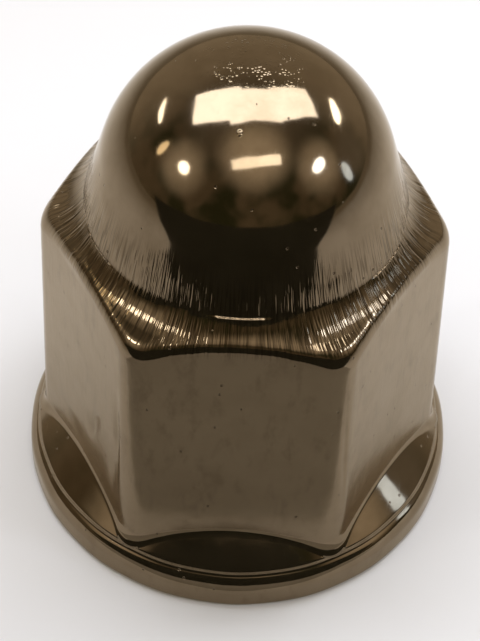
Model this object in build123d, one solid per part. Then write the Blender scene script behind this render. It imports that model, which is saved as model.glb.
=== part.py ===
"""Closed-end, dome-top flanged wheel nut (lug nut), M12 x 1.5, 19 mm hex.

One cold-formed steel piece. The frame has +Z up along the thread axis, with the origin at the centre of
the bearing face. Two hex flats face -Y and +Y, and two hex corners lie on the X axis. Millimetres.
"""

from build123d import *
import os
from math import acos, atan2, cos, hypot, radians, sin, tan

# Overall height, and the dome that closes the top
overall_height = 28.4
dome_radius = 7.6

# Conical neck under the dome, and the hollow shoulder that sweeps from the neck out to the hex corners
neck_foot_radius = 8.2
neck_foot_height = 19.6
neck_fillet = 0.9
shoulder_slope = 62.0        # degrees below horizontal, at the neck
shoulder_radius = 3.8        # of the hollow sweep, seen in section
shoulder_edge_fillet = 0.75  # where the shoulder meets the hex flats

# Wrench hex: its size across flats at the foot of the flats, narrowing upwards by the forming draft
across_flats = 19.0
hex_draft = 0.85            # degrees
hex_corner_radius = 1.7

# Flange, from the bearing face up: straight rim, rolled edge, small lip, cone up to the flats
flange_diameter = 23.2
flange_bottom_fillet = 0.3
rim_wall_height = 1.25
rolled_edge_height = 0.95
rolled_edge_inset = 0.5
lip_height = 0.2
flare_slope = 45.0          # degrees below horizontal
flare_fillet = 0.5          # where the flare meets the hex

# Blind threaded hole, at the minor diameter of M12 x 1.5
thread_minor_diameter = 10.5
thread_major_diameter = 12.0
bore_depth = 20.5
drill_point_angle = 118.0
mouth_clearance = 0.3       # the mouth chamfer is this much wider than the thread's major radius
mouth_angle = 45.0


def flare_height(radius):
    """How high the flange's cone stands at a radius."""
    lip_radius = flange_diameter / 2 - rolled_edge_inset
    lip_top = rim_wall_height + rolled_edge_height + lip_height
    return lip_top + (lip_radius - radius) * tan(radians(flare_slope))


def turned_envelope():
    """Everything above the flange that is round: the dome, the neck and the shoulder."""
    dome_centre = overall_height - dome_radius
    # The neck's side is the tangent from its foot to the dome.
    foot_up = neck_foot_height - dome_centre
    tangent_angle = atan2(foot_up, neck_foot_radius) + acos(dome_radius / hypot(neck_foot_radius, foot_up))
    middle_angle = (tangent_angle + radians(90)) / 2
    neck_top = (dome_radius * cos(tangent_angle), dome_centre + dome_radius * sin(tangent_angle))
    dome_middle = (dome_radius * cos(middle_angle), dome_centre + dome_radius * sin(middle_angle))

    # The shoulder's hollow starts at the neck foot and flattens outwards until it is level.
    start = radians(shoulder_slope)
    sweep_centre = (
        neck_foot_radius + shoulder_radius * sin(start),
        neck_foot_height + shoulder_radius * cos(start),
    )
    sweep_middle = (
        sweep_centre[0] - shoulder_radius * sin(start / 2),
        sweep_centre[1] - shoulder_radius * cos(start / 2),
    )
    level = sweep_centre[1] - shoulder_radius
    beyond_hex = across_flats
    section = make_face(
        [
            Line((0, 0), (0, overall_height)),
            ThreePointArc((0, overall_height), dome_middle, neck_top),
            Line(neck_top, (neck_foot_radius, neck_foot_height)),
            ThreePointArc((neck_foot_radius, neck_foot_height), sweep_middle, (sweep_centre[0], level)),
            Line((sweep_centre[0], level), (beyond_hex, level)),
            Line((beyond_hex, level), (beyond_hex, 0)),
            Line((beyond_hex, 0), (0, 0)),
        ]
    )
    neck_foot = section.vertices().sort_by_distance(Vector(neck_foot_radius, neck_foot_height))[0]
    return revolve(Plane.XZ * fillet(neck_foot, neck_fillet), Axis.Z)


def hex_prism():
    """The drafted hex with its rounded corners, as tall as the nut."""
    foot_height = flare_height(across_flats / 2)
    base_flat = across_flats / 2 + foot_height * tan(radians(hex_draft))
    outline = RegularPolygon(radius=base_flat, side_count=6, major_radius=False)
    prism = extrude(outline, amount=overall_height, taper=hex_draft)
    corners = prism.edges().filter_by(GeomType.LINE).filter_by(lambda edge: abs(edge.tangent_at(0).Z) > 0.5)
    return fillet(corners, hex_corner_radius)


def flange():
    """The round flange with its rim, rolled edge, lip and conical flare."""
    rim_radius = flange_diameter / 2
    lip_radius = rim_radius - rolled_edge_inset
    lip_bottom = rim_wall_height + rolled_edge_height
    inner_radius = thread_major_diameter / 2
    outline = make_face(
        [
            Line((inner_radius, 0), (rim_radius, 0)),
            Line((rim_radius, 0), (rim_radius, rim_wall_height)),
            TangentArc((rim_radius, rim_wall_height), (lip_radius, lip_bottom), tangent=(0, 1)),
            Line((lip_radius, lip_bottom), (lip_radius, flare_height(lip_radius))),
            Line((lip_radius, flare_height(lip_radius)), (inner_radius, flare_height(inner_radius))),
            Line((inner_radius, flare_height(inner_radius)), (inner_radius, 0)),
        ]
    )
    return revolve(Plane.XZ * outline, Axis.Z)


def blind_hole():
    """The drilled hole with its point, and the chamfered mouth."""
    bore_radius = thread_minor_diameter / 2
    point_depth = bore_radius / tan(radians(drill_point_angle / 2))
    mouth_radius = thread_major_diameter / 2 + mouth_clearance
    mouth_depth = (mouth_radius - bore_radius) / tan(radians(mouth_angle))
    outline = Polyline(
        (0, 0),
        (mouth_radius, 0),
        (bore_radius, mouth_depth),
        (bore_radius, bore_depth),
        (0, bore_depth + point_depth),
        close=True,
    )
    return revolve(Plane.XZ * make_face(outline), Axis.Z)


def curved_edges(body, low, high):
    """The edges between two heights that are neither straight nor round: those where a cone meets the hex."""
    return [
        edge
        for edge in body.edges()
        if edge.geom_type not in (GeomType.LINE, GeomType.CIRCLE) and low < edge.center().Z < high
    ]


def lug_nut():
    """The whole nut: the hex cut to the turned envelope, its flange, the blended edges and the hole."""
    half_height = overall_height / 2
    body = hex_prism() & turned_envelope()
    body = fillet(curved_edges(body, half_height, overall_height), shoulder_edge_fillet)
    body = body + flange()
    body = fillet(curved_edges(body, 0, half_height), flare_fillet)
    bearing_edge = body.edges().filter_by(GeomType.CIRCLE).group_by(Axis.Z)[0].sort_by(SortBy.RADIUS)[-1]
    body = fillet(bearing_edge, flange_bottom_fillet)
    return body - blind_hole()


os.makedirs("parts", exist_ok=True)
export_step(lug_nut(), "parts/lug_nut.step")
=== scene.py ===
"""Looks of the lug nut: one plated steel nut with its thread, on a pale floor under soft studio lamps.

The frame is the CAD's: +Z up the thread axis, origin at the centre of the bearing face. Sizes here are in
millimetres, and turned into metres where a mesh, lamp or camera is made.
"""

from math import acos, atan2, cos, hypot, pi, radians, sin, tan

import bpy
import numpy as np
from mathutils import Matrix, Vector


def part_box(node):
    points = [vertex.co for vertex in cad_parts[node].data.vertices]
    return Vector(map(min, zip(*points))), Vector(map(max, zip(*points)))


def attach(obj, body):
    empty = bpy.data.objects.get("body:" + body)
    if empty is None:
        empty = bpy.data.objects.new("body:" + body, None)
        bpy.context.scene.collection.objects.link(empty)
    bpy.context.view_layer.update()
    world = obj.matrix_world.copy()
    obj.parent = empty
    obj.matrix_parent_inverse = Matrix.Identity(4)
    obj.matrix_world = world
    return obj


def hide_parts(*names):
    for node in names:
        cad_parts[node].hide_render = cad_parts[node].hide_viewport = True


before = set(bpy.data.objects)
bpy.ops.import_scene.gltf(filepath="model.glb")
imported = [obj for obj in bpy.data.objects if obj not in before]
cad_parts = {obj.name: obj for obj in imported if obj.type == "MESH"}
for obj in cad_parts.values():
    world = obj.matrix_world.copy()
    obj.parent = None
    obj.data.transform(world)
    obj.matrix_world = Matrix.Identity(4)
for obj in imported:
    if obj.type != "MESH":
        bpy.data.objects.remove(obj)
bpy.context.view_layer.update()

MM = 0.001
NODE = "lug_nut"
high_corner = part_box(NODE)[1] / MM

# Sizes that the frame gives
overall_height = high_corner.z
rim_radius = high_corner.x

# Dome, neck and shoulder
dome_radius = 7.6
neck_foot_radius = 8.2
neck_foot_height = 19.6
neck_fillet = 0.9
shoulder_slope = radians(62.0)
shoulder_radius = 3.8
shoulder_edge_fillet = 0.95   # in the middle of a flat
corner_edge_fillet = 1.4      # at the hex corners

# Wrench hex
across_flats = 19.0
hex_draft = radians(0.85)
hex_corner_radius = 1.7

# Flange
bottom_fillet = 0.3
rim_wall_height = 1.25
rolled_edge_height = 0.95
rolled_edge_inset = 0.5
lip_height = 0.2
lip_round = 0.2
flare_slope = radians(45.0)
flare_fillet = 0.5            # in the middle of a flat
corner_foot_fillet = 1.6      # at the hex corners

# Blind threaded hole
minor_radius = 5.25
major_radius = 6.0
mouth_radius = 6.3
thread_pitch = 1.5
thread_top = 18.0             # where the thread has run out
bore_depth = 20.5
drill_half_angle = radians(59.0)

# Dents and folds left by forming. Each row has the angle round the axis, the low and the high end, the half
# width, the depth, the lean in degrees over its length, and how much sharper one side is than the other.
FORMING_MARKS = [
    (219.4, 6.0, 9.9, 0.50, 0.110, 9.0, 1.6),
    (234.6, 4.2, 14.5, 0.34, 0.110, 1.0, 3.5),
    (231.8, 4.0, 9.8, 0.50, 0.090, 2.0, 1.5),
    (205.0, 3.6, 6.4, 1.10, 0.050, -6.0, 1.0),
    (243.2, 11.0, 16.8, 0.12, 0.030, 0.0, 1.0),
    (302.0, 3.8, 16.6, 0.20, 0.035, -2.0, 2.0),
    (268.0, 5.0, 15.0, 2.60, 0.020, 2.0, 1.0),
    (326.0, 4.5, 14.0, 1.80, 0.030, 3.0, 1.0),
    (92.0, 5.0, 15.0, 2.40, 0.025, -3.0, 1.0),
    (53.0, 4.6, 13.0, 0.40, 0.050, 1.5, 2.5),
    (147.0, 5.0, 10.0, 0.60, 0.045, 5.0, 1.5),
]
RIM_WAVER = 0.05              # how far in the rim and the lip waver

# Mesh density
COLUMNS = 432
BORE_COLUMNS = 108
BORE_ROWS = 150               # along the thread
CORNER_CROWDING = 0.5         # how much closer the columns stand at the hex corners

# Studio
SENSOR_WIDTH = 36.0
FOCAL_LENGTH = 130.36
CAMERA_TARGET = Vector((0, 0, 13.83))
CAMERA_AZIMUTH, CAMERA_ELEVATION, CAMERA_DISTANCE = 0.64, 47.69, 121.3
CAMERA_ROLL = radians(2.17)
FRAME_SHIFT = (-0.0054, -0.0767)
FLOOR_HALF = 3000.0
FLOOR_HEIGHT = -0.01
FLOOR_COLOUR = (0.76, 0.76, 0.76, 1)
MATT = 0.9                    # roughness of the floor and the board
SOFTBOX_HEIGHT = 107.0
SOFTBOX_RADIANCE = 5.6
SOFTBOX_COLOUR = (0.97, 1.0, 1.09)

# The board in front, as a strip: half width, y and z of its near edge, its fold and its top edge. It is
# painted shade that shows only in the nut's reflections: the flat grey strip is a painted shadow on the
# floor in front, and the dark upright part is a painted dark reflection.
BOARD_STRIP = [(24, -13.5, 0.05), (46, -45, 0.05), (110, -45, 30)]
# Grey is a painted shadow on the floor in front; dark is a painted dark reflection
PAINTED_SHADE_COLOURS = [("painted_floor_shadow", (0.36, 0.35, 0.32, 1)), ("painted_dark_reflection", (0.03, 0.03, 0.018, 1))]

# Soft glows in the room round the lamps: azimuth, elevation and spread in degrees, and radiance
ROOM_GLOWS = [
    (12, 61, 36, 0.95),
    (-62, 32, 26, 0.75),
    (72, 31, 26, 0.80),
    (100, 14, 20, 0.3),
]
GLOW_GREEN, GLOW_BLUE = 0.86, 0.68


# ---------------------------------------------------------------- the outside, as one grid

def column_angles(count):
    """Angles round the axis, closer together at the six hex corners."""
    even = np.arange(count) * 2 * pi / count
    return even - CORNER_CROWDING * np.sin(6 * even) / 6


def hex_radius(angle, apothem):
    """How far the rounded hexagon reaches from the axis at an angle. Its corners are at 0, 60, 120..."""
    from_corner = np.abs((angle + pi / 6) % (pi / 3) - pi / 6)
    from_flat = pi / 6 - from_corner
    corner_centre = (apothem - hex_corner_radius) / cos(pi / 6)
    tangent_angle = np.arctan2((apothem - hex_corner_radius) * tan(pi / 6), apothem)
    on_flat = apothem / np.cos(from_flat)
    reach = np.maximum(hex_corner_radius**2 - (corner_centre * np.sin(from_corner)) ** 2, 0)
    on_corner = corner_centre * np.cos(from_corner) + np.sqrt(reach)
    return np.where(from_flat > tangent_angle, on_corner, on_flat)


def hex_line(angle):
    """The hex's side in each column: its radius where z is 0, and how much it narrows per millimetre."""
    foot_height = 4.5
    top_height = 18.5
    foot = hex_radius(angle, across_flats / 2)
    top = hex_radius(angle, across_flats / 2 - (top_height - foot_height) * tan(hex_draft))
    narrowing = (foot - top) / (top_height - foot_height)
    return foot + narrowing * foot_height, narrowing


def blend_arc(before, corner, after, radius, steps):
    """The round blend between two straight stretches of every column, as (steps + 1, columns, 2)."""
    arriving = corner - before
    arriving = arriving / np.linalg.norm(arriving, axis=-1, keepdims=True)
    leaving = after - corner
    leaving = leaving / np.linalg.norm(leaving, axis=-1, keepdims=True)
    turn = arriving[:, 0] * leaving[:, 1] - arriving[:, 1] * leaving[:, 0]
    angle = np.arctan2(turn, (arriving * leaving).sum(-1))
    side = np.sign(angle)[:, None]
    normal = side * np.stack([-arriving[:, 1], arriving[:, 0]], -1)
    radius = np.broadcast_to(radius, angle.shape)[:, None]
    start = corner - arriving * radius * np.tan(np.abs(angle) / 2)[:, None]
    centre = start + normal * radius
    rows = []
    spoke = start - centre
    for step in range(steps + 1):
        swing = (angle * step / steps)[:, None]
        across = np.stack([-spoke[:, 1], spoke[:, 0]], -1)
        rows.append(centre + spoke * np.cos(swing) + across * np.sin(swing))
    return np.array(rows)


def straight(start, end, steps):
    """The points between two ends of a stretch, without the ends themselves."""
    shares = (np.arange(1, steps) / steps)[:, None, None]
    return start[None] * (1 - shares) + end[None] * shares


def outside_rows(angle):
    """(radius, height) of every row in every column, from just under the apex to the hole's mouth."""
    count = len(angle)

    def same(radius, height):
        return np.stack([np.broadcast_to(radius, count), np.broadcast_to(height, count)], -1).astype(float)

    dome_centre = overall_height - dome_radius
    foot_up = neck_foot_height - dome_centre
    reach = hypot(neck_foot_radius, foot_up)
    tangent_angle = atan2(foot_up, neck_foot_radius) + acos(dome_radius / reach)
    dome_steps = 46
    dome = np.array([
        same(dome_radius * cos(a), dome_centre + dome_radius * sin(a))
        for a in np.linspace(pi / 2, tangent_angle, dome_steps + 1)[1:]
    ])
    neck_top = dome[-1]
    neck_foot = same(neck_foot_radius, neck_foot_height)

    # The shoulder's hollow starts at the neck foot and flattens outwards; each column leaves it at the hex.
    side_at_zero, narrowing = hex_line(angle)
    sweep_centre = (
        neck_foot_radius + shoulder_radius * sin(shoulder_slope),
        neck_foot_height + shoulder_radius * cos(shoulder_slope),
    )

    def on_sweep(slope):
        return np.stack([
            np.broadcast_to(sweep_centre[0] - shoulder_radius * np.sin(slope), count),
            np.broadcast_to(sweep_centre[1] - shoulder_radius * np.cos(slope), count),
        ], -1)

    edge_height = np.full(count, neck_foot_height - 1.0)
    for _ in range(20):
        edge_radius = side_at_zero - narrowing * edge_height
        edge_slope = np.arcsin((sweep_centre[0] - edge_radius) / shoulder_radius)
        edge_height = sweep_centre[1] - shoulder_radius * np.cos(edge_slope)
    shoulder_edge = np.stack([edge_radius, edge_height], -1)
    to_corner = (edge_radius - edge_radius.min()) / np.ptp(edge_radius)
    edge_fillet = shoulder_edge_fillet + (corner_edge_fillet - shoulder_edge_fillet) * to_corner**2
    # The edge fillet meets the hollow a little before the edge itself.
    edge_turn = pi / 2 - edge_slope
    setback = edge_fillet * np.tan(edge_turn / 2)
    sweep_end = edge_slope + setback / shoulder_radius
    shoulder = np.array([
        on_sweep(shoulder_slope + (sweep_end - shoulder_slope) * share)
        for share in np.linspace(0.08, 1, 12)
    ])

    lip_radius = rim_radius - rolled_edge_inset
    lip_bottom = rim_wall_height + rolled_edge_height
    lip_top = lip_bottom + lip_height
    flare_run = tan(flare_slope)
    foot_height = (lip_top + (lip_radius - side_at_zero) * flare_run) / (1 - narrowing * flare_run)
    hex_foot = np.stack([side_at_zero - narrowing * foot_height, foot_height], -1)

    lip_edge = same(lip_radius, lip_top)
    lip_foot = same(lip_radius, lip_bottom)
    bottom_edge = same(rim_radius, 0.0)

    neck_blend = blend_arc(neck_top, neck_foot, on_sweep(shoulder_slope - 0.02), neck_fillet, 4)
    shoulder_blend = blend_arc(shoulder[-1], shoulder_edge, hex_foot, edge_fillet, 8)
    foot_fillet = flare_fillet + (corner_foot_fillet - flare_fillet) * to_corner**2
    foot_blend = blend_arc(shoulder_edge, hex_foot, lip_edge, foot_fillet, 8)
    lip_blend = blend_arc(hex_foot, lip_edge, lip_foot, lip_round, 4)
    bottom_blend = blend_arc(same(rim_radius, rim_wall_height), bottom_edge, same(0, 0), bottom_fillet, 5)

    # The rolled edge is the arc that leaves the rim wall upright and ends at the foot of the lip.
    chord = hypot(rolled_edge_inset, rolled_edge_height)
    half_turn = atan2(rolled_edge_inset, rolled_edge_height)
    roll_radius = chord / 2 / sin(half_turn)
    rolled_edge = np.array([
        same(rim_radius - roll_radius * (1 - cos(a)), rim_wall_height + roll_radius * sin(a))
        for a in np.linspace(2 * half_turn, 0, 9)
    ])

    mouth = same(mouth_radius, 0.0)
    stretches = [
        dome,
        straight(neck_top, neck_blend[0], 13),
        neck_blend,
        shoulder,
        shoulder_blend[1:],
        straight(shoulder_blend[-1], foot_blend[0], 40),
        foot_blend,
        straight(foot_blend[-1], lip_blend[0], 9),
        lip_blend,
        rolled_edge,
        straight(rolled_edge[-1], bottom_blend[0], 4),
        bottom_blend,
        straight(bottom_blend[-1], mouth, 10),
    ]
    return np.concatenate(stretches)


def dented(rows, angle):
    """The rows with the marks that forming left: each pushes the surface a little towards the axis."""
    height = rows[..., 1]
    push = np.zeros_like(height)
    for at_angle, low, high, half_width, depth, lean, sharp in FORMING_MARKS:
        along = np.clip((height - low) / (high - low), 0, 1)
        middle = radians(at_angle) + radians(lean) * (along - 0.5)
        across = ((angle[None] - middle + pi) % (2 * pi) - pi) * rows[..., 0] / half_width
        swell = np.sin(pi * along) ** 2 * ((height > low) & (height < high))
        falling = np.where(across > 0, across * sharp, across)
        push += depth * swell * np.exp(-falling**2)
    # The rim and the lip waver, less and less above the rolled edge.
    lip_bottom = rim_wall_height + rolled_edge_height
    on_flange = np.clip(1 - (height - lip_bottom) / 1.2, 0, 1) * (rows[..., 0] > mouth_radius + 2)
    waver = 0.5 + 0.5 * np.sin(7 * angle + 0.6) * np.sin(11 * angle + 2.0)
    push += RIM_WAVER * on_flange * waver[None]
    rows = rows.copy()
    rows[..., 0] -= push
    return rows


# ---------------------------------------------------------------- the threaded hole

def grid_faces(rows, columns, first):
    """Quads between neighbouring rows of a grid that closes on itself round the axis."""
    upper = first + np.arange(rows - 1)[:, None] * columns + np.arange(columns)[None]
    right = first + np.arange(rows - 1)[:, None] * columns + (np.arange(columns) + 1)[None] % columns
    return np.stack([upper, upper + columns, right + columns, right], -1).reshape(-1, 4).tolist()


def bore_profile(angle):
    """(radius, height) of the hole's rows, from inside the mouth to the foot of the drill point."""
    count = len(angle)
    plain_from = thread_top + thread_pitch
    heights = np.concatenate([
        np.linspace(0.12, plain_from, BORE_ROWS),
        np.linspace(plain_from, bore_depth, 5)[1:],
    ])
    turn = angle / (2 * pi)
    rows = []
    for height in heights:
        phase = (height / thread_pitch - turn) % 1.0
        groove = np.clip(np.abs(phase - 0.5) * 2 * 1.6 - 0.3, 0, 1)
        fade = np.clip((thread_top - height) / thread_pitch, 0, 1)
        radius = minor_radius + (major_radius - minor_radius) * groove * fade
        chamfer = mouth_radius - height
        rows.append(np.stack([np.maximum(radius, chamfer), np.full(count, height)], -1))
    return np.array(rows)


def turned_points(rows, angle):
    """Points in space of (radius, height) rows, one after another."""
    radius, height = rows[..., 0], rows[..., 1]
    return np.stack([radius * np.cos(angle), radius * np.sin(angle), height], -1).reshape(-1, 3).tolist()


def make_nut():
    """The nut's mesh: the outside grid, capped at the apex, then the hole, which has fewer columns."""
    angle = column_angles(COLUMNS)
    rows = dented(outside_rows(angle), angle)
    vertices = turned_points(rows, angle)
    apex = len(vertices)
    vertices.append((0.0, 0.0, overall_height))
    faces = grid_faces(len(rows), COLUMNS, 0)
    faces += [(apex, i, (i + 1) % COLUMNS) for i in range(COLUMNS)]

    share = COLUMNS // BORE_COLUMNS
    bore_angle = angle[::share]
    bore_rows = bore_profile(bore_angle)
    first = len(vertices)
    vertices += turned_points(bore_rows, bore_angle)
    first_bore_face = len(faces)
    faces += grid_faces(len(bore_rows), BORE_COLUMNS, first)

    # One face at the mouth joins each bore column to its share of the outside columns.
    mouth_row = (len(rows) - 1) * COLUMNS
    for i in range(BORE_COLUMNS):
        fan = [mouth_row + (i * share + k) % COLUMNS for k in range(share, -1, -1)]
        faces.append((*fan, first + i, first + (i + 1) % BORE_COLUMNS))
    tip = len(vertices)
    vertices.append((0.0, 0.0, bore_depth + minor_radius / tan(drill_half_angle)))
    last = first + (len(bore_rows) - 1) * BORE_COLUMNS
    faces += [(tip, last + (i + 1) % BORE_COLUMNS, last + i) for i in range(BORE_COLUMNS)]

    mesh = bpy.data.meshes.new("nut_body")
    mesh.from_pydata((np.array(vertices) * MM).tolist(), [], faces)
    for polygon in mesh.polygons[first_bore_face:]:
        polygon.material_index = 1
    mesh.shade_smooth()
    nut = bpy.data.objects.new("nut_body", mesh)
    bpy.context.scene.collection.objects.link(nut)
    return nut


# ---------------------------------------------------------------- finish

class Nodes:
    """A short way to build a material's nodes: each method adds one node and returns its output."""

    def __init__(self, material):
        material.use_nodes = True
        self.tree = material.node_tree
        self.shader = self.tree.nodes.get("Principled BSDF")    # a world has none

    def node(self, kind, inputs=(), **settings):
        """A node whose inputs are linked where a socket is given, and set where a value is."""
        made = self.tree.nodes.new(kind)
        for name, value in settings.items():
            setattr(made, name, value)
        for key, value in dict(inputs).items():
            if isinstance(value, bpy.types.NodeSocket):
                self.tree.links.new(value, made.inputs[key])
            else:
                made.inputs[key].default_value = value
        return made

    def math(self, operation, first, second):
        return self.node("ShaderNodeMath", {0: first, 1: second}, operation=operation).outputs[0]

    def times(self, first, second):
        return self.math("MULTIPLY", first, second)

    def plus(self, first, second):
        return self.math("ADD", first, second)

    def vector(self, operation, first, second):
        inputs = {0: first, 1: second}
        return self.node("ShaderNodeVectorMath", inputs, operation=operation)

    def ramp(self, value, start, end):
        """0 where value is at start, 1 at end and smooth between; start may be the larger."""
        inputs = {"Value": value, "From Min": start, "From Max": end}
        return self.node("ShaderNodeMapRange", inputs, interpolation_type="SMOOTHSTEP").outputs[0]

    def lerp(self, share, start, end):
        """start where share is 0, end where it is 1, for numbers."""
        inputs = {"Value": share, "To Min": start, "To Max": end}
        return self.node("ShaderNodeMapRange", inputs).outputs[0]

    def noise(self, vector, scale, detail, roughness=0.5):
        inputs = {"Vector": vector, "Scale": scale, "Detail": detail, "Roughness": roughness}
        return self.node("ShaderNodeTexNoise", inputs).outputs["Fac"]

    def stretch(self, vector, factors):
        return self.vector("MULTIPLY", vector, factors).outputs[0]

    def distance(self, vector, place):
        return self.vector("DISTANCE", vector, place).outputs["Value"]

    def cells(self, vector, scale):
        """The distance to the nearest of some scattered points."""
        return self.node("ShaderNodeTexVoronoi", {"Vector": vector, "Scale": scale}).outputs["Distance"]

    def blend(self, share, first, second):
        """first where share is 0, second where it is 1, for colours."""
        return self.node("ShaderNodeMix", {0: share, 6: first, 7: second}, data_type="RGBA").outputs[2]

    def bump(self, height, depth, below=None):
        """Relief of the given depth in millimetres, on top of the relief below."""
        inputs = {"Height": height, "Distance": depth * MM, "Strength": 1.0}
        if below is not None:
            inputs["Normal"] = below
        return self.node("ShaderNodeBump", inputs).outputs[0]

    def places(self):
        """The point on the nut in millimetres, its height, its direction from the axis, and its facing."""
        at = self.node("ShaderNodeTexCoord")
        inputs = {0: at.outputs["Object"], "Scale": 1 / MM}
        point = self.node("ShaderNodeVectorMath", inputs, operation="SCALE").outputs[0]
        height = self.node("ShaderNodeSeparateXYZ", {0: point}).outputs[2]
        flat = self.stretch(point, (1, 1, 0))
        round_axis = self.node("ShaderNodeVectorMath", {0: flat}, operation="NORMALIZE").outputs[0]
        upward = self.node("ShaderNodeSeparateXYZ", {0: at.outputs["Normal"]}).outputs[2]
        return point, height, round_axis, upward

    def finish(self, colour, roughness, relief):
        """Gives the metal shader its colour, roughness and relief."""
        self.tree.links.new(colour, self.shader.inputs["Base Color"])
        self.tree.links.new(roughness, self.shader.inputs["Roughness"])
        self.tree.links.new(relief, self.shader.inputs["Normal"])
        self.shader.inputs["Metallic"].default_value = 1.0


def drawn_lines(n, height, round_axis):
    """Noise that is drawn out along the meridians: fine and broad lines that run down the neck."""
    along = n.node("ShaderNodeCombineXYZ", {2: n.times(height, 0.007)}).outputs[0]
    meridian = n.vector("ADD", round_axis, along).outputs[0]
    return n.noise(meridian, 80.0, 1.0), n.noise(meridian, 30.0, 2.0, 0.6)


def plated_steel():
    """Smoky nickel-chrome: a mirror on the dome, drawn lines down the neck and shoulder, satin flats."""
    material = bpy.data.materials.new("plated_steel")
    n = Nodes(material)
    point, height, round_axis, upward = n.places()

    # Where each finish lies: satin on the flats, lines on the neck and shoulder, specks on the crown
    crease = neck_foot_height
    upright = n.ramp(n.math("ABSOLUTE", upward, 0.0), 0.20, 0.06)
    satin = n.times(upright, n.ramp(height, crease, crease - 0.8))
    below_dome = n.ramp(height, crease + 3.2, crease + 0.6)
    drawn = n.times(below_dome, n.ramp(height, crease - 2.2, crease - 1.2))
    from_crown = n.distance(n.stretch(point, (0.62, 1, 1)), (0.1, 0.75, overall_height))
    crown = n.times(n.ramp(from_crown, 2.3, 1.1), n.ramp(n.noise(point, 1.6, 2.0), 0.38, 0.62))
    nick = n.ramp(n.distance(n.stretch(point, (1, 0.6, 1)), (-0.37, -2.2, 27.45)), 0.15, 0.04)

    # Lines drawn down the neck and shoulder by the forming die, deeper in patches
    fine_lines, broad_lines = drawn_lines(n, height, round_axis)
    patches = n.ramp(n.noise(point, 0.35, 1.0), 0.35, 0.6)
    lines = n.plus(n.times(fine_lines, 0.35), n.times(broad_lines, 0.65))
    lines = n.times(n.times(lines, drawn), n.lerp(patches, 0.45, 1.0))

    # Peel and specks on the crown, grain on the flats, hairlines, pits, and a slow swell all over
    peel = n.times(n.noise(point, 5.5, 2.0), crown)
    specks = n.times(n.ramp(n.cells(point, 6.5), 0.55, 0.1), crown)
    grain = n.times(n.noise(n.stretch(point, (1, 1, 0.12)), 5.0, 3.0, 0.6), satin)
    hair = n.ramp(n.noise(n.stretch(point, (9.0, 0.5, 2.0)), 1.3, 1.0), 0.66, 0.72)
    pits = n.ramp(n.cells(point, 0.9), 0.075, 0.04)
    swell = n.noise(point, 0.7, 1.0)

    # Colour: warm smoky metal in clouds, with brown stains, painted shade in the grooves between the drawn
    # lines, and dark pits
    clouds = n.ramp(n.noise(point, 0.45, 4.0, 0.6), 0.35, 0.7)
    stains = n.ramp(n.noise(n.stretch(point, (1, 1, 0.4)), 1.1, 5.0, 0.68), 0.48, 0.70)
    # Painted shade: the colour darkens in the grooves between the drawn lines on the neck and shoulder
    painted_groove_shade = n.times(n.ramp(fine_lines, 0.52, 0.40), n.times(drawn, 0.6))
    colour = n.blend(clouds, (0.225, 0.172, 0.112, 1), (0.190, 0.143, 0.090, 1))
    colour = n.blend(n.times(satin, 0.6), colour, (0.200, 0.152, 0.097, 1))
    colour = n.blend(n.times(stains, n.lerp(satin, 0.15, 0.55)), colour, (0.135, 0.098, 0.060, 1))
    colour = n.blend(painted_groove_shade, colour, (0.075, 0.055, 0.034, 1))
    colour = n.blend(n.times(pits, 0.6), colour, (0.07, 0.05, 0.035, 1))

    # Roughness: smudged everywhere, duller on the flats and in the hairlines
    smudge = n.noise(point, 0.8, 3.0, 0.6)
    polished = n.times(n.lerp(smudge, 0.05, 0.12), n.math("SUBTRACT", 1.0, satin))
    dull = n.times(n.lerp(smudge, 0.13, 0.27), satin)
    roughness = n.plus(n.plus(dull, polished), n.times(hair, 0.04))

    relief = None
    for height_map, depth in (
        (lines, 0.11),
        (peel, 0.006),
        (specks, 0.017),
        (nick, 0.05),
        (grain, 0.006),
        (swell, 0.012),
        (n.times(pits, -1.0), 0.02),
    ):
        relief = n.bump(height_map, depth, relief)

    n.finish(colour, roughness, relief)
    n.shader.inputs["Specular Tint"].default_value = (1.0, 0.94, 0.84, 1)
    return material


def cut_thread():
    """The tapped hole: bare oiled steel with fine turning marks round it."""
    material = bpy.data.materials.new("cut_thread")
    n = Nodes(material)
    point = n.places()[0]
    marks = n.noise(n.stretch(point, (0.15, 0.15, 1)), 14.0, 2.0)
    stain = n.noise(point, 0.8, 3.0)
    colour = n.blend(stain, (0.22, 0.20, 0.175, 1), (0.13, 0.105, 0.08, 1))
    n.finish(colour, n.lerp(stain, 0.25, 0.45), n.bump(marks, 0.01))
    return material


# ---------------------------------------------------------------- studio

def add_object(name, data):
    made = bpy.data.objects.new(name, data)
    bpy.context.scene.collection.objects.link(made)
    return made


def aim(thing, place, target, roll=0.0):
    """Points a lamp or camera at a target, both in millimetres."""
    place = Vector(place) * MM
    direction = (Vector(target) * MM - place).normalized()
    turn = Matrix.Rotation(roll, 4, "Z").to_quaternion()
    thing.location = place
    thing.rotation_mode = "QUATERNION"
    thing.rotation_quaternion = direction.to_track_quat("-Z", "Y") @ turn


def towards(azimuth, elevation, distance):
    """A point at a distance from the origin: azimuth 0 is the front, positive to the right of it."""
    a, e = radians(azimuth), radians(elevation)
    return Vector((sin(a) * cos(e), -cos(a) * cos(e), sin(e))) * distance


def add_camera():
    camera = add_object("camera", bpy.data.cameras.new("camera"))
    bpy.context.scene.camera = camera
    camera.data.sensor_width = SENSOR_WIDTH
    camera.data.lens = FOCAL_LENGTH
    camera.data.clip_start = 0.01
    camera.data.clip_end = 10.0
    camera.data.shift_x, camera.data.shift_y = FRAME_SHIFT
    place = CAMERA_TARGET + towards(CAMERA_AZIMUTH, CAMERA_ELEVATION, CAMERA_DISTANCE)
    aim(camera, place, CAMERA_TARGET, CAMERA_ROLL)


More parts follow.
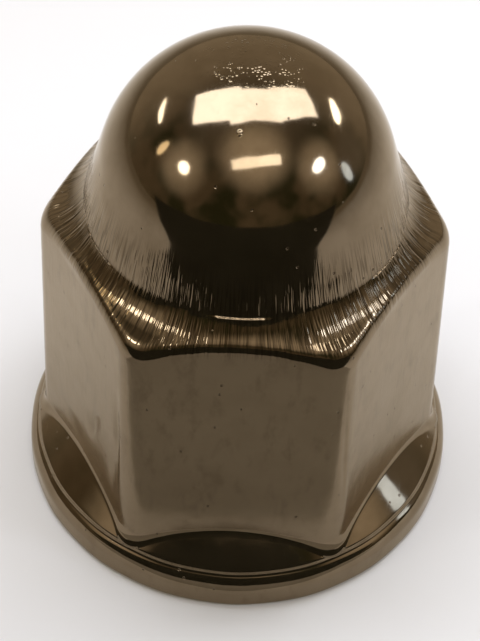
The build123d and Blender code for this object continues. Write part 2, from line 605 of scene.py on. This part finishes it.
def area_lamp(name, size, radiance, colour, shape):
    """An area lamp whose surface has the same radiance whatever its size."""
    lamp = bpy.data.lights.new(name, "AREA")
    lamp.shape = shape
    lamp.size, lamp.size_y = size[0] * MM, size[1] * MM
    lamp.energy = radiance * pi * lamp.size * lamp.size_y
    lamp.color = colour
    return add_object(name, lamp)


def add_lamp(name, azimuth, elevation, distance, size, radiance, colour=(1.0, 1.0, 1.0), shape="ELLIPSE"):
    """A lamp that faces the foot of the nut's neck, from a direction as in towards()."""
    target = Vector((0, 0, neck_foot_height))
    lamp = area_lamp(name, size, radiance, colour, shape)
    aim(lamp, target + towards(azimuth, elevation, distance), target)


def hang_softbox(name, centre, size, turn):
    """A rectangular softbox above the nut that faces straight down, turned by some degrees."""
    lamp = area_lamp(name, size, SOFTBOX_RADIANCE, SOFTBOX_COLOUR, "RECTANGLE")
    lamp.location = Vector((*centre, SOFTBOX_HEIGHT)) * MM
    lamp.rotation_euler = (0, 0, radians(turn))


def matt_mesh(name, corners, faces, colours):
    """A stage piece with one plain matt material for each named colour."""
    mesh = bpy.data.meshes.new(name)
    mesh.from_pydata([tuple(c * MM for c in corner) for corner in corners], [], faces)
    for material_name, colour in colours:
        material = bpy.data.materials.new(material_name)
        material.use_nodes = True
        shader = material.node_tree.nodes["Principled BSDF"]
        shader.inputs["Base Color"].default_value = colour
        shader.inputs["Roughness"].default_value = MATT
        mesh.materials.append(material)
    return add_object(name, mesh)


def add_floor():
    half, z = FLOOR_HALF, FLOOR_HEIGHT
    corners = [(-half, -half, z), (half, -half, z), (half, half, z), (-half, half, z)]
    floor = matt_mesh("floor", corners, [(0, 1, 2, 3)], [("floor", FLOOR_COLOUR)])


def add_painted_shade_board():
    """A board that lies in front of the nut and turns up, only there for the nut to reflect: painted shade
    in the metal, a grey strip as a painted shadow on the floor in front and a dark upright part as a
    painted dark reflection.
    """
    corners = [(side * half, y, z) for half, y, z in BOARD_STRIP for side in (-1, 1)]
    board = matt_mesh("painted_shade_board", corners, [(0, 1, 3, 2), (2, 3, 5, 4)], PAINTED_SHADE_COLOURS)
    board.data.polygons[1].material_index = 1
    # Hidden from the camera, shadows and diffuse light, so its grey and dark show only as painted shade in
    # the nut's metal
    board.visible_camera = False
    board.visible_shadow = False
    board.visible_diffuse = False


def light_world():
    """The room: dim, olive and brown in front, a brighter wall behind, a brown ceiling, soft glows."""
    world = bpy.data.worlds.new("studio")
    bpy.context.scene.world = world
    n = Nodes(world)
    direction = n.node("ShaderNodeTexCoord").outputs["Generated"]
    parts = n.node("ShaderNodeSeparateXYZ", {0: direction})
    behind = n.ramp(parts.outputs[1], 0.0, 0.75)
    above = n.ramp(parts.outputs[2], 0.55, 0.95)
    mottle = n.ramp(n.noise(direction, 2.4, 2.0), 0.42, 0.62)
    front = n.blend(mottle, (0.060, 0.060, 0.028, 1), (0.20, 0.155, 0.10, 1))
    room = n.blend(behind, front, (0.52, 0.44, 0.34, 1))
    room = n.blend(above, room, (0.21, 0.172, 0.125, 1))
    for azimuth, elevation, spread, radiance in ROOM_GLOWS:
        facing = n.vector("DOT_PRODUCT", direction, towards(azimuth, elevation, 1.0)).outputs["Value"]
        glow = n.math("POWER", n.ramp(facing, cos(radians(spread)), 1.0), 2.0)
        room = n.blend(glow, room, (radiance, radiance * GLOW_GREEN, radiance * GLOW_BLUE, 1))
    background = n.tree.nodes["Background"]
    n.tree.links.new(room, background.inputs["Color"])
    background.inputs["Strength"].default_value = 1.0


nut = make_nut()
nut.data.materials.append(plated_steel())
nut.data.materials.append(cut_thread())
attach(nut, "root")
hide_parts(NODE)

add_floor()
add_painted_shade_board()
light_world()
add_camera()

# Three softboxes overhead in a shallow arc, and smaller lamps round the nut
hang_softbox("overhead_left", (-37.8, 18.0), (53, 43), -6)
hang_softbox("overhead_middle", (5.1, 14.6), (54, 41.2), 7.4)
hang_softbox("overhead_right", (49.4, 32.6), (60, 41.7), 31)
add_lamp("front_softbox", 12, 57, 120, (76, 15), 4.4, shape="RECTANGLE")
add_lamp("left_high", -60, 33, 260, (46, 36), 8.0)
add_lamp("left_low", -86, 27, 330, (30, 60), 2.6, (1.0, 0.85, 0.6))
add_lamp("left_back", -114, 27, 300, (90, 24), 6.0)
add_lamp("right_high", 71, 32, 270, (60, 40), 8.5, (0.82, 0.92, 1.12))
add_lamp("right_back", 120, 27, 300, (84, 36), 8.0)
add_lamp("right_low", 87, 12, 300, (34, 70), 3.0, (0.55, 0.72, 1.0))

bpy.context.scene.view_settings.view_transform = "Standard"
